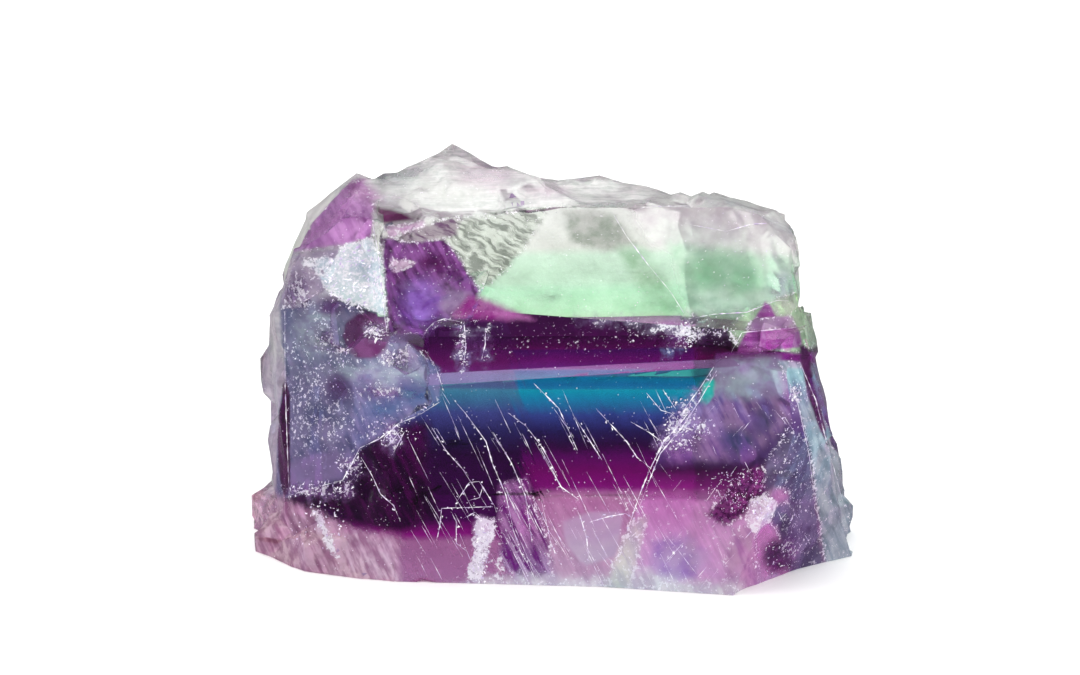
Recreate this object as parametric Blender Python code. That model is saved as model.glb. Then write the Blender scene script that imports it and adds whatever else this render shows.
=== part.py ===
"""A block of banded fluorite: cleaved, part polished, and lying on its flat base.

Metres, +Z up. The origin is under the middle of the block, on the surface that it lies on.
The polished front looks along -Y, and the right end is at +X.
"""

import math
from collections import namedtuple

import bmesh
import bpy
from mathutils import Euler, Matrix, Vector, noise

MM = 0.001

# The size of the whole block, in millimetres. Every face below stands inside it.
WIDTH = 50.4
DEPTH = 33.6
HEIGHT = 32.0
LEFT = -WIDTH / 2
RIGHT = WIDTH / 2
FRONT = -DEPTH / 2
BACK = DEPTH / 2
ROUGH_CUBE = 4 * WIDTH

# The broken relief, in millimetres: the longest side of its triangles, how wide its cleaved
# facets are, how high they step, how far they lean as a share of their width, how deep the
# surface swells, and how far the flanks stay above the surface that the block lies on.
GRAIN = 2.0
CLEAVAGE = 4.6
STEP = 0.4
LEAN = 0.3
SWELL = 0.3
CLEAR = 0.2
# How much less of the relief a surface that looks to the front has.
FRONT_CALM = 0.5
# How near to a plane a point on it lies, in millimetres.
FLATNESS = 0.01

STONE_COLOUR = (0.42, 0.22, 0.45)
STONE_ROUGHNESS = 0.12
FLUORITE_IOR = 1.434

# Heights of the two polished edges that cross the front, over the middle, in millimetres.
LOWER_EDGE = 17.1
UPPER_EDGE = 21.0

# A face is flat: azimuth 0 looks to the front and 90 to the right end, and tilt is how far it
# looks up, both in degrees. It goes through one point, in millimetres.
Face = namedtuple("Face", "azimuth tilt through")

LOWER_FRONT = Face(-5, 8.3, (-5.5, FRONT + 3.3, 0))
NARROW_CHAMFER = Face(-6, 19.6, (0.6, FRONT + 5.37, LOWER_EDGE))
BAND_FACE = Face(-7, 31, (0.6, FRONT + 5.3, LOWER_EDGE))
WINDOW_FACE = Face(-6.3, 41.4, (3.8, FRONT + 7.3, UPPER_EDGE))
WEDGE_FRONT = Face(-12.2, 12.5, (4.2, FRONT + 2.4, 0))
WEDGE_CORNER = Face(48, 14, (18.6, FRONT + 3.2, LOWER_EDGE))
UNDERSIDE = Face(0, -90, (0, 0, 0))
KEPT_FLAT = (
    UNDERSIDE,
    LOWER_FRONT,
    NARROW_CHAMFER,
    BAND_FACE,
    WINDOW_FACE,
    WEDGE_FRONT,
    WEDGE_CORNER,
)

# Each mass is the space behind a set of faces, and together they make the block.
BODY = (
    LOWER_FRONT,
    BAND_FACE,
    NARROW_CHAMFER,
    WINDOW_FACE,
    Face(-20, 84.5, (3.8, FRONT + 14.5, 28.7)),
    Face(118, 76, (11, 3, 28.9)),
    Face(41, 0, (RIGHT - 5.1, FRONT + 7.1, 0)),
    Face(178, 58, (0, 5.0, 29.3)),
)
LEFT_MASS = (
    Face(-36, 26, (LEFT + 11.6, FRONT + 7.7, 18.7)),
    Face(-30, 60, (LEFT + 11.4, FRONT + 12.9, 27.4)),
    Face(96, 4, (LEFT + 11.6, 0, 20)),
    Face(-5, 9, (-5.5, FRONT + 3.6, 0)),
    Face(200, 20, (LEFT + 8, BACK - 3.5, 12)),
    Face(190, 56, (-12, 4.5, 29.8)),
)
PEAK = (
    Face(0, -88, (0, 0, 12)),
    Face(-3, 64, (-8.4, 5.4, HEIGHT)),
    Face(-100, 76.5, (-8.4, 5.4, HEIGHT)),
    Face(108, 70.5, (-8.4, 6, HEIGHT)),
    Face(178, 55, (-8.4, 6.4, HEIGHT)),
    Face(2, 1, (0, FRONT + 14.6, 20)),
    Face(88, 2, (6, 0, 20)),
)
WEDGE = (
    Face(-7, 35, (14, FRONT + 4.45, LOWER_EDGE + 1.3)),
    WEDGE_FRONT,
    WEDGE_CORNER,
    Face(51, -10.5, (15.2, FRONT + 1.0, 0)),
    Face(8, 87, (12, 0, UPPER_EDGE)),
    Face(184, 2, (12, 2, 9)),
)
PLATE = (
    Face(-16, 9, (-16, FRONT + 4.6, 4)),
    Face(80, 10, (-9.8, FRONT + 6, 17)),
    Face(95, -58, (-16, FRONT + 8, 10.5)),
    Face(-20, 60, (-14, FRONT + 6.0, 18.6)),
    Face(186, 3, (-14, FRONT + 15, 12)),
)
MASSES = {
    "body": BODY,
    "left_mass": LEFT_MASS,
    "peak": PEAK,
    "wedge": WEDGE,
    "plate": PLATE,
}
# The outer sides, which all the masses keep inside.
SIDES = (
    Face(-80, 0, (LEFT + 2.0, 0, 8)),
    Face(-86, 21, (LEFT + 2.4, 0, 20)),
    Face(-76, 46, (LEFT + 4.3, 2, 25.6)),
    Face(-44, 5, (LEFT + 4.6, FRONT + 8.4, 0)),
    Face(-23, 7, (LEFT + 11.2, FRONT + 4.5, 0)),
    Face(74, 16, (RIGHT - 4.4, FRONT + 5.2, LOWER_EDGE)),
    Face(86, 10.6, (RIGHT - 0.4, -2, 0)),
    Face(84, 50, (RIGHT - 7.0, 0, 27.6)),
    Face(178, 3, (0, BACK, 4)),
    Face(228, 6, (LEFT + 5.0, BACK - 6.0, 0)),
    Face(130, 8, (RIGHT - 4.5, BACK - 8.0, 0)),
    Face(218, 52, (-14, 5, 30.0)),
)
FOOT = (
    Face(-82, 6, (LEFT, 1, 0.6)),
    Face(-55, 12, (LEFT + 1.6, FRONT + 11.0, 0)),
    Face(-19, 14, (LEFT + 6.2, FRONT + 5.9, 0)),
    Face(-76, 52, (LEFT + 0.9, 3, 2.4)),
    Face(-35, 50, (LEFT + 5.2, FRONT + 8.8, 3.6)),
    Face(92, 2, (LEFT + 12, 0, 2)),
    Face(215, 10, (LEFT + 3, BACK - 8, 0)),
)
SHOULDER_NOTCH = (
    Face(0, -74, (RIGHT - 5, -7, 21.2)),
    Face(-92, -6, (RIGHT - 5.2, 0, 22)),
)
GROUND = (Face(0, 90, (0, 0, 0)),)

# A bite is where a piece broke away: its centre, its three radii, and its lean and turn, in
# millimetres and degrees. Scoops are shell-shaped, and notches follow the octahedral cleavage.
Bite = namedtuple("Bite", "centre radii lean turn")

SCOOPS = (
    Bite((-9.4, -11.4, 28.4), (7.0, 9.6, 9.4), 0, 8),
    Bite((-4.2, -8.4, 30.2), (8.6, 6.0, 5.6), 15, -10),
    Bite((-2.5, 3.0, 33.2), (4.4, 5.0, 2.4), 0, 30),
    Bite((13.0, 13.0, 28.0), (8.0, 7.0, 5.6), -10, -15),
    Bite((6.0, 20.0, 12.0), (9.0, 3.6, 7.4), 8, 5),
)
NOTCHES = (
    Bite((-16.6, -8.4, 20.0), (2.6, 2.6, 2.6), 30, 25),
    Bite((-20.6, -6.6, 24.6), (5.0, 3.6, 4.4), 20, 10),
    Bite((-11.9, -11.6, 18.2), (2.6, 1.9, 2.4), 50, -10),
    Bite((11.1, -10.6, 21.8), (2.2, 1.5, 1.5), 35, 5),
    Bite((17.4, -12.2, 20.4), (1.8, 1.5, 2.2), 20, 20),
    Bite((-1.2, -15.8, -0.6), (3.0, 2.3, 1.9), 10, 15),
    Bite((6.6, -17.4, -0.8), (3.4, 2.2, 1.8), 20, -12),
    Bite((-10.2, -14.4, -0.7), (3.8, 2.3, 2.0), 15, 8),
    Bite((-21.5, 17.5, 20.0), (7.0, 6.0, 9.0), 25, 20),
    Bite((-10.0, 20.5, 3.0), (7.0, 5.0, 6.5), 35, -8),
    Bite((21.0, 14.0, 14.0), (5.0, 5.0, 7.0), 15, 35),
)


def outward(face):
    """The unit normal of a face."""
    turn = math.radians(face.azimuth)
    rise = math.radians(face.tilt)
    return Vector(
        (
            math.sin(turn) * math.cos(rise),
            -math.cos(turn) * math.cos(rise),
            math.sin(rise),
        )
    )


def cleaved_block(name, faces, size):
    """A convex block: a rough cube with each listed face cut flat across it."""
    shape = bmesh.new()
    bmesh.ops.create_cube(shape, size=size * MM)
    for face in faces:
        cut = bmesh.ops.bisect_plane(
            shape,
            geom=shape.verts[:] + shape.edges[:] + shape.faces[:],
            plane_co=Vector(face.through) * MM,
            plane_no=outward(face),
            clear_outer=True,
        )
        rim = [part for part in cut["geom_cut"] if isinstance(part, bmesh.types.BMEdge)]
        bmesh.ops.contextual_create(shape, geom=rim)
    bmesh.ops.recalc_face_normals(shape, faces=shape.faces[:])
    mesh = bpy.data.meshes.new(name)
    shape.to_mesh(mesh)
    shape.free()
    block = bpy.data.objects.new(name, mesh)
    bpy.context.scene.collection.objects.link(block)
    return block


def combine(block, others, operation):
    """Joins the others to the block, or cuts them from it, and removes them."""
    for other in others:
        modifier = block.modifiers.new(other.name, "BOOLEAN")
        modifier.operation = operation
        modifier.solver = "EXACT"
        modifier.object = other
    graph = bpy.context.evaluated_depsgraph_get()
    made = bpy.data.meshes.new_from_object(block.evaluated_get(graph))
    block.modifiers.clear()
    block.data = made
    for other in others:
        bpy.data.objects.remove(other)


def bite_cutter(name, bite, shell):
    """The cutter for one bite: a faceted ball for a shell-shaped scoop, or an octahedron."""
    shape = bmesh.new()
    if shell:
        bmesh.ops.create_icosphere(shape, subdivisions=2, radius=1)
    else:
        for axis in range(3):
            for side in (-1, 1):
                tip = Vector((0, 0, 0))
                tip[axis] = side
                shape.verts.new(tip)
        bmesh.ops.convex_hull(shape, input=shape.verts[:])
        bmesh.ops.recalc_face_normals(shape, faces=shape.faces[:])
    turn = Euler((math.radians(bite.lean), 0, math.radians(bite.turn))).to_matrix().to_4x4()
    stretch = Matrix.Diagonal(Vector(bite.radii) * MM).to_4x4()
    place = Matrix.Translation(Vector(bite.centre) * MM)
    bmesh.ops.transform(shape, matrix=place @ turn @ stretch, verts=shape.verts[:])
    mesh = bpy.data.meshes.new(name)
    shape.to_mesh(mesh)
    shape.free()
    cutter = bpy.data.objects.new(name, mesh)
    bpy.context.scene.collection.objects.link(cutter)
    return cutter


def flat_side(face):
    """Which of the kept planes a mesh face lies on, counting KEPT_FLAT from 1, or 0 for none."""
    centre = face.calc_center_median() / MM
    for place, kept in enumerate(KEPT_FLAT, 1):
        normal = outward(kept)
        near = abs((centre - Vector(kept.through)).dot(normal)) < FLATNESS
        if near and face.normal.dot(normal) > 0.9999:
            return place
    return 0


def split(shape, edge, start):
    """Puts a corner halfway along an edge, and joins it to the far corner of both triangles."""
    faces = edge.link_faces[:]
    _, middle = bmesh.utils.edge_split(edge, start, 0.5)
    for face in faces:
        beside = {loop.vert for loop in face.loops if loop.link_loop_next.vert == middle}
        beside |= {loop.link_loop_next.vert for loop in face.loops if loop.vert == middle}
        (far,) = set(face.verts) - beside - {middle}
        bmesh.utils.face_split(face, middle, far)


def refine(shape, side):
    """Splits the rough surface into small triangles, and leaves the flat faces in large ones."""
    bmesh.ops.triangulate(shape, faces=shape.faces[:])
    while True:
        long = [
            edge
            for edge in shape.edges
            if edge.calc_length() > GRAIN * MM and not all(f[side] for f in edge.link_faces)
        ]
        if not long:
            break
        long.sort(key=lambda edge: -edge.calc_length())
        for edge in long[: max(1, len(long) // 3)]:
            split(shape, edge, edge.verts[0])


def relief(point):
    """How far the broken surface stands out at a point, both in millimetres."""
    where = point / CLEAVAGE
    home = noise.voronoi(where)[1][0]
    tilt = noise.cell_vector(home * 9) - Vector((0.5, 0.5, 0.5))
    facet = LEAN * CLEAVAGE * tilt.dot(where - home)
    step = STEP * (noise.cell(home * 5) - 0.5)
    swell = SWELL * noise.fractal(point / (2 * CLEAVAGE), 1.0, 2.0, 2)
    return facet + step + swell


def roughen(block):
    """Gives the unpolished surface its broken relief."""
    shape = bmesh.new()
    shape.from_mesh(block.data)
    bmesh.ops.dissolve_degenerate(shape, dist=0.02 * MM, edges=shape.edges[:])
    side = shape.faces.layers.int.new("side")
    for face in shape.faces:
        face[side] = flat_side(face)
    refine(shape, side)
    shape.normal_update()
    moves = []
    for vert in shape.verts:
        calm = 1 - FRONT_CALM * max(0, -vert.normal.y)
        move = vert.normal * relief(vert.co / MM) * calm * MM
        places = {face[side] for face in vert.link_faces} - {0}
        kept = [outward(KEPT_FLAT[place - 1]) for place in sorted(places)]
        if len(kept) > 2:
            continue
        if len(kept) == 2:
            along = kept[0].cross(kept[1]).normalized()
            move = along * move.dot(along)
        elif kept:
            move = move - kept[0] * move.dot(kept[0])
        if KEPT_FLAT.index(UNDERSIDE) + 1 not in places:
            move.z = max(move.z, CLEAR * MM - vert.co.z)
        moves.append((vert, move))
    for vert, move in moves:
        vert.co += move
    shape.to_mesh(block.data)
    shape.free()


def settle(block):
    """Slides the block level, so that the middle of its outline stands over the origin."""
    points = [vert.co for vert in block.data.vertices]
    lowest = Vector([min(point[axis] for point in points) for axis in range(3)])
    highest = Vector([max(point[axis] for point in points) for axis in range(3)])
    middle = (lowest + highest) / 2
    block.data.transform(Matrix.Translation((-middle.x, -middle.y, -lowest.z)))


def paint(block):
    """The stone's glassy purple, as one material for the whole block."""
    look = bpy.data.materials.new("fluorite")
    look.use_nodes = True
    shader = look.node_tree.nodes["Principled BSDF"]
    shader.inputs["Base Color"].default_value = (*STONE_COLOUR, 1)
    shader.inputs["Roughness"].default_value = STONE_ROUGHNESS
    shader.inputs["Metallic"].default_value = 0
    shader.inputs["IOR"].default_value = FLUORITE_IOR
    shader.inputs["Transmission Weight"].default_value = 1
    look.diffuse_color = (*STONE_COLOUR, 1)
    block.data.materials.clear()
    block.data.materials.append(look)


def main():
    for leftover in list(bpy.data.objects):
        bpy.data.objects.remove(leftover)
    # Each rough cube has a size of its own, so that no two blocks share a plane.
    masses = [
        cleaved_block(name, faces, ROUGH_CUBE + 2 * order)
        for order, (name, faces) in enumerate(MASSES.items())
    ]
    block = masses.pop(0)
    block.name = "fluorite_block"
    combine(block, masses, "UNION")
    combine(block, [cleaved_block("sides", SIDES, ROUGH_CUBE - 4)], "INTERSECT")
    combine(block, [cleaved_block("foot", FOOT, ROUGH_CUBE - 8)], "UNION")
    cutters = [
        cleaved_block("ground", GROUND, ROUGH_CUBE + 20),
        cleaved_block("shoulder_notch", SHOULDER_NOTCH, ROUGH_CUBE + 24),
    ]
    cutters += [bite_cutter(f"scoop_{n}", bite, True) for n, bite in enumerate(SCOOPS)]
    cutters += [bite_cutter(f"notch_{n}", bite, False) for n, bite in enumerate(NOTCHES)]
    combine(block, cutters, "DIFFERENCE")
    roughen(block)
    settle(block)
    paint(block)


main()
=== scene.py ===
# %% [markdown]
# # A banded block of rainbow fluorite
# The stone is one natural piece, about as wide as a matchbox. Its front is sawn and polished into a few
# flat faces, and the rest is broken along the crystal's cleavage. Colour lies in it as flat growth zones,
# stacked like floors: dusty pink, purple so dark that it looks black, blue, teal, purple again, mint
# green and a top that is nearly colourless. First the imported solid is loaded. Everything else is fitted
# to it.

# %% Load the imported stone
import math
import random
from collections import namedtuple

import bmesh
import bpy
import numpy as np
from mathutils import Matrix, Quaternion, Vector
from mathutils.bvhtree import BVHTree


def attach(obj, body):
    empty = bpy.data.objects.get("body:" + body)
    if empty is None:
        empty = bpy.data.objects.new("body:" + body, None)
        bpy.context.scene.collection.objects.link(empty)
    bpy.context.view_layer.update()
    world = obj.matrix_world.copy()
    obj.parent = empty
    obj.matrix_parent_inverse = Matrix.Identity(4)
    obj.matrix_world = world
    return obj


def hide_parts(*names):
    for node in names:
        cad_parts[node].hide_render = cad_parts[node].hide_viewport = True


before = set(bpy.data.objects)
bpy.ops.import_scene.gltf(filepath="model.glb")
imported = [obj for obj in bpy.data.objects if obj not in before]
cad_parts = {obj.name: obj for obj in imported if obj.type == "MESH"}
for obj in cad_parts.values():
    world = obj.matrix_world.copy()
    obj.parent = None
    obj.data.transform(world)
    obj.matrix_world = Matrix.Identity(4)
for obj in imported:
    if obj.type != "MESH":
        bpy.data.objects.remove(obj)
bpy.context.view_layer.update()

MM = 0.001

# %% [markdown]
# ## The camera
# The photograph looks down at the stone by 14 degrees, from about 30 cm, with a long lens. The same
# camera also serves as a ruler here: a line of sight through a place in the picture meets the stone at
# one point, so a crack that is seen in the picture can be laid on the very face that carries it.

# %% Camera at the photograph's viewing angle
PICTURE = (1080, 675)
STONE_MIDDLE = (553, 371)
LENS, SENSOR = 120.0, 36.0
ELEVATION = math.radians(14)
DISTANCE = 299 * MM
AIM = Vector((0.25, -0.57, 14.25)) * MM

RIGHT = Vector((1, 0, 0))
UP = Vector((0, math.sin(ELEVATION), math.cos(ELEVATION)))
TOWARDS = Vector((0, -math.cos(ELEVATION), math.sin(ELEVATION)))

camera_data = bpy.data.cameras.new("camera")
camera_data.lens = LENS
camera_data.sensor_width = SENSOR
camera_data.clip_start = 0.01
camera_data.shift_x = (PICTURE[0] / 2 - STONE_MIDDLE[0]) / PICTURE[0]
camera_data.shift_y = (STONE_MIDDLE[1] - PICTURE[1] / 2) / PICTURE[0]
camera = bpy.data.objects.new("camera", camera_data)
bpy.context.scene.collection.objects.link(camera)
camera.location = AIM + TOWARDS * DISTANCE
camera.rotation_euler = (-TOWARDS).to_track_quat("-Z", "Y").to_euler()
bpy.context.scene.camera = camera
bpy.context.scene.view_settings.view_transform = "Standard"


def line_of_sight(across, down):
    """The direction in which the camera sees a place in the picture, given in the photograph's pixels."""
    sideways = ((across - PICTURE[0] / 2) / PICTURE[0] + camera_data.shift_x) * SENSOR / LENS
    upwards = ((PICTURE[1] / 2 - down) / PICTURE[0] + camera_data.shift_y) * SENSOR / LENS
    return (RIGHT * sideways + UP * upwards - TOWARDS).normalized()


print("camera stands at", [round(c, 3) for c in camera.location])

# %% [markdown]
# ## The studio
# The stone stands on white, in light so soft that it comes from everywhere: that is what makes a clear
# crystal glow, because the light that reaches the eye has passed through it from behind. Clear stone also
# mirrors the room in front of it. A photographer keeps that side dark, so that the dark zones stay dark,
# and the world here does the same: it is bright for light that passes through and dimmer for reflections.

# %% White floor and soft light
def select_only(*objects):
    """Leaves only these objects selected, the first of them active."""
    bpy.ops.object.select_all(action="DESELECT")
    for item in objects:
        item.select_set(True)
    bpy.context.view_layer.objects.active = objects[0]


bpy.ops.object.select_all(action="DESELECT")
bpy.ops.mesh.primitive_plane_add(size=8, location=(0, 0, -0.04 * MM))
floor = bpy.context.object
floor.name = "studio_floor"


def soft_light(name, place, aim, size, power):
    """A square softbox that points at a place."""
    lamp = bpy.data.lights.new(name, "AREA")
    lamp.shape = "SQUARE"
    lamp.size = size
    lamp.energy = power
    box = bpy.data.objects.new(name, lamp)
    bpy.context.scene.collection.objects.link(box)
    box.location = place
    box.rotation_euler = (Vector(aim) - Vector(place)).to_track_quat("-Z", "Y").to_euler()
    return box


soft_light("light_from_above", (-0.1, 0.15, 0.62), (0, 0, 0.015), 0.5, 1.0)
soft_light("light_from_the_right", (0.55, -0.12, 0.25), (0, 0, 0.015), 0.3, 0.6)
soft_light("light_from_the_left", (-0.6, -0.15, 0.3), (0, 0, 0.015), 0.3, 0.5)


# %% [markdown]
# ## A way to write finishes
# A finish is a net of nodes. Written node by node it is long and hard to read, so this class wraps one
# output of a node: adding, multiplying or subtracting two of them makes the Math node that does it. Every
# other node comes from `node`, which takes the kind of node, its settings and what goes into its sockets.

# %% Wires and nodes
class Wire:
    """One output of a node, on which sums can be written."""

    def __init__(self, tree, output):
        self.tree = tree
        self.output = output

    def __getitem__(self, name):
        return Wire(self.tree, self.output.node.outputs[name])

    def maths(self, operation, first, second=0.0):
        return self.node("ShaderNodeMath", {"operation": operation}, {0: first, 1: second})

    def node(self, kind, settings, sockets):
        return node(self.tree, kind, settings, sockets)

    def __add__(self, other):
        return self.maths("ADD", self, other)

    def __sub__(self, other):
        return self.maths("SUBTRACT", self, other)

    def __rsub__(self, other):
        return self.maths("SUBTRACT", other, self)

    def __mul__(self, other):
        return self.maths("MULTIPLY", self, other)

    def __truediv__(self, other):
        return self.maths("DIVIDE", self, other)

    __radd__ = __add__
    __rmul__ = __mul__

    def at_least(self, other):
        return self.maths("MAXIMUM", self, other)

    def at_most(self, other):
        return self.maths("MINIMUM", self, other)

    def between(self, low, high):
        """0 where the wire is at low or below, 1 where it is at high or above, and smooth between."""
        return self.node(
            "ShaderNodeMapRange",
            {"interpolation_type": "SMOOTHSTEP"},
            {"Value": self, "From Min": low, "From Max": high},
        )


def node(tree, kind, settings=None, sockets=None):
    """Adds a node: first its settings, then the values or wires of its sockets. It gives the first output."""
    made = tree.nodes.new(kind)
    for name, value in (settings or {}).items():
        if name == "stops":
            set_stops(made.color_ramp, value)
        else:
            setattr(made, name, value)
    for name, value in (sockets or {}).items():
        if isinstance(value, Wire):
            tree.links.new(value.output, made.inputs[name])
        else:
            made.inputs[name].default_value = value
    return Wire(tree, made.outputs[0]) if made.outputs else None


def set_stops(ramp, stops):
    """Fills a colour ramp with (place, colour) pairs."""
    while len(ramp.elements) > 1:
        ramp.elements.remove(ramp.elements[-1])
    ramp.elements[0].position = stops[0][0]
    ramp.elements[0].color = (*stops[0][1], 1)
    for place, colour in stops[1:]:
        ramp.elements.new(place).color = (*colour, 1)


def seen(red, green, blue):
    """The amounts of light behind a colour as a picture gives it, from 0 to 255."""
    return tuple(
        c / 255 / 12.92 if c <= 10.31 else ((c / 255 + 0.055) / 1.055) ** 2.4
        for c in (red, green, blue)
    )


def new_material(name):
    """An empty material, and its tree."""
    made = bpy.data.materials.new(name)
    made.use_nodes = True
    made.node_tree.nodes.clear()
    return made, made.node_tree


def mixed(factor, first, second):
    """The colour between two others."""
    made = node(
        factor.tree, "ShaderNodeMix", {"data_type": "RGBA"}, {0: factor, 6: first, 7: second}
    )
    return Wire(factor.tree, made.output.node.outputs[2])


def opaque(colour):
    return (*colour, 1)


# %% [markdown]
# The floor is matt white paper, and the world is one even white. In both, a Light Path node tells which
# rays are mirror images, so that only those see them dimmed. There are many bounces, because light
# crosses the stone several times.

# %% Floor and world
ROOM_LIGHT = 1.27
MIRRORED_LIGHT = 0.14
MIRRORED_PAPER = (0.12, 0.12, 0.12)


def mirror_image(tree):
    """1 for rays that come off a mirror, 0 for all others."""
    path = node(tree, "ShaderNodeLightPath")
    return path["Is Reflection Ray"] * path["Is Glossy Ray"]


paper, tree = new_material("white_paper")
grain = node(tree, "ShaderNodeTexNoise", {}, {"Scale": 60.0, "Detail": 3.0})
shade = mixed(grain, opaque((0.93, 0.93, 0.93)), opaque((0.96, 0.96, 0.96)))
shade = mixed(mirror_image(tree), shade, opaque(MIRRORED_PAPER))
skin = node(tree, "ShaderNodeBsdfPrincipled", {}, {"Base Color": shade, "Roughness": 0.9})
node(tree, "ShaderNodeOutputMaterial", {}, {"Surface": skin})
floor.data.materials.append(paper)

world = bpy.data.worlds.new("white_room")
bpy.context.scene.world = world
world.use_nodes = True
tree = world.node_tree
tree.nodes.clear()
room = mirror_image(tree) * (MIRRORED_LIGHT - ROOM_LIGHT) + ROOM_LIGHT
glow = node(tree, "ShaderNodeBackground", {}, {"Color": (1, 1, 1, 1), "Strength": room})
node(tree, "ShaderNodeOutputWorld", {}, {"Surface": glow})

cycles = bpy.context.scene.cycles
cycles.max_bounces = 20
cycles.transmission_bounces = 16
cycles.glossy_bounces = 12
cycles.diffuse_bounces = 4
cycles.transparent_max_bounces = 12
cycles.use_denoising = True
cycles.blur_glossy = 0.3
print("room light", ROOM_LIGHT, "and its mirror image", MIRRORED_LIGHT)

# %% [markdown]
# ## The stone's own mesh
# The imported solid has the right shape, but its triangles are coarse where the stone is broken. A copy of
# it is merged into one skin and its long edges are cut in half again and again. The polished faces stay
# perfectly flat, and the broken ones get the small steps that cleavage leaves.

# %% Copy the solid and merge its triangles
stone = bpy.data.objects.new("fluorite_stone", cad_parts["fluorite_block"].data.copy())
bpy.context.scene.collection.objects.link(stone)
select_only(stone)
bpy.ops.object.mode_set(mode="EDIT")
bpy.ops.mesh.select_all(action="SELECT")
bpy.ops.mesh.remove_doubles(threshold=0.002 * MM)
bpy.ops.mesh.dissolve_degenerate(threshold=0.01 * MM)
bpy.ops.object.mode_set(mode="OBJECT")
print("merged:", len(stone.data.vertices), "corners,", len(stone.data.polygons), "faces")

# %% [markdown]
# Sawn faces are flat to a hair, so each is known by the one direction that it looks in, as a turn to the
# right and a tilt upwards. Every face that looks another way is broken.

# %% Tell the polished faces from the broken ones
POLISHED = {
    "lower front": (-5, 8.3),
    "narrow chamfer": (-6, 19.6),
    "dark band": (-7, 31),
    "window": (-6.3, 41.4),
    "wedge": (-12.2, 12.5),
    "wedge corner": (48, 14),
    "underside": (0, -90),
}
SAME_WAY = 0.99995


def facing(turn, tilt):
    """The direction that a face looks in, from its turn to the right and its tilt upwards, in degrees."""
    turn, tilt = math.radians(turn), math.radians(tilt)
    return Vector((math.sin(turn) * math.cos(tilt), -math.cos(turn) * math.cos(tilt), math.sin(tilt)))


polished_directions = [facing(*angles) for angles in POLISHED.values()]


def is_polished(normal):
    return any(normal.dot(direction) > SAME_WAY for direction in polished_directions)


print("faces that look a polished way:", sum(is_polished(face.normal) for face in stone.data.polygons))

# %% [markdown]
# Long edges are cut in half until none is left. Halving all edges alike would waste faces on the flat
# parts, so those may keep longer ones. Triangles after each round keep every cut face simple.

# %% Cut the long edges in half
BROKEN_EDGE, FLAT_EDGE = 0.62 * MM, 1.1 * MM
MOST_ROUNDS = 12
for _ in range(MOST_ROUNDS):
    bpy.ops.object.mode_set(mode="EDIT")
    bpy.ops.mesh.select_all(action="DESELECT")
    shape = bmesh.from_edit_mesh(stone.data)
    chosen = 0
    for edge in shape.edges:
        flat = all(is_polished(face.normal) for face in edge.link_faces)
        if edge.calc_length() > (FLAT_EDGE if flat else BROKEN_EDGE):
            edge.select_set(True)
            chosen += 1
    bmesh.update_edit_mesh(stone.data)
    if chosen:
        bpy.ops.mesh.subdivide(number_cuts=1)
        bpy.ops.mesh.select_all(action="SELECT")
        bpy.ops.mesh.quads_convert_to_tris(quad_method="SHORTEST_DIAGONAL", ngon_method="BEAUTY")
    bpy.ops.object.mode_set(mode="OBJECT")
    if not chosen:
        break
print("cut to", len(stone.data.polygons), "faces")

# %% [markdown]
# Looking in through the window, one sees the back from inside. A steep step there would mirror the dark
# zone into the pale one. On the real stone the back is worn, so its steps are smoothed here, and only
# there.

# %% Smooth the back
BACK = 11 * MM
BACK_LOW, BACK_HIGH = 1 * MM, 27 * MM
bpy.ops.object.mode_set(mode="EDIT")
bpy.ops.mesh.select_all(action="DESELECT")
shape = bmesh.from_edit_mesh(stone.data)
for vertex in shape.verts:
    if vertex.co.y > BACK and BACK_LOW < vertex.co.z < BACK_HIGH:
        vertex.select_set(True)
shape.select_flush(True)
bmesh.update_edit_mesh(stone.data)
bpy.ops.mesh.vertices_smooth(factor=0.5, repeat=14)
bpy.ops.mesh.select_all(action="SELECT")
bpy.ops.mesh.dissolve_degenerate(threshold=0.0005 * MM)
bpy.ops.object.mode_set(mode="OBJECT")
shape = bmesh.new()
shape.from_mesh(stone.data)
open_edges = sum(len(edge.link_faces) != 2 for edge in shape.edges)
shape.free()
print("finer:", len(stone.data.polygons), "faces,", open_edges, "edges that don't join two faces")

# %% [markdown]
# Fluorite cleaves in flat steps, which show as a fine stair on broken faces. Two Displace modifiers make
# them: square cells for the steps and clouds for the grain. They reach only the corners in a vertex
# group, so polished faces and their edges stay true, and the skyline and the worn back move less.

# %% Small steps on the broken faces
WORN_LEVEL, WORN_SIDE, WORN_SHARE = 24.5 * MM, 21 * MM, 0.4


def is_worn(place):
    return place.dot(UP) > WORN_LEVEL or abs(place.x) > WORN_SIDE or place.y > BACK


flat_faces = [is_polished(face.normal) for face in stone.data.polygons]
polish = stone.data.attributes.new("polish", "FLOAT", "FACE")
polish.data.foreach_set("value", [float(flat) for flat in flat_faces])
held = {v for face, flat in zip(stone.data.polygons, flat_faces) if flat for v in face.vertices}
broken = stone.vertex_groups.new(name="broken")
broken.add([v.index for v in stone.data.vertices if v.index not in held], 1.0, "REPLACE")
worn = [v.index for v in stone.data.vertices if v.index not in held and is_worn(v.co)]
broken.add(worn, WORN_SHARE, "REPLACE")


def displace(name, kind, size, strength, **settings):
    """Pushes the broken faces in and out by a texture, and applies it."""
    pattern = bpy.data.textures.new(name, kind)
    pattern.noise_scale = size
    for key, value in settings.items():
        setattr(pattern, key, value)
    push = stone.modifiers.new(name, "DISPLACE")
    push.texture = pattern
    push.texture_coords = "LOCAL"
    push.strength = strength
    push.mid_level = 0.5
    push.vertex_group = broken.name
    select_only(stone)
    bpy.ops.object.modifier_apply(modifier=push.name)


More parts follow.
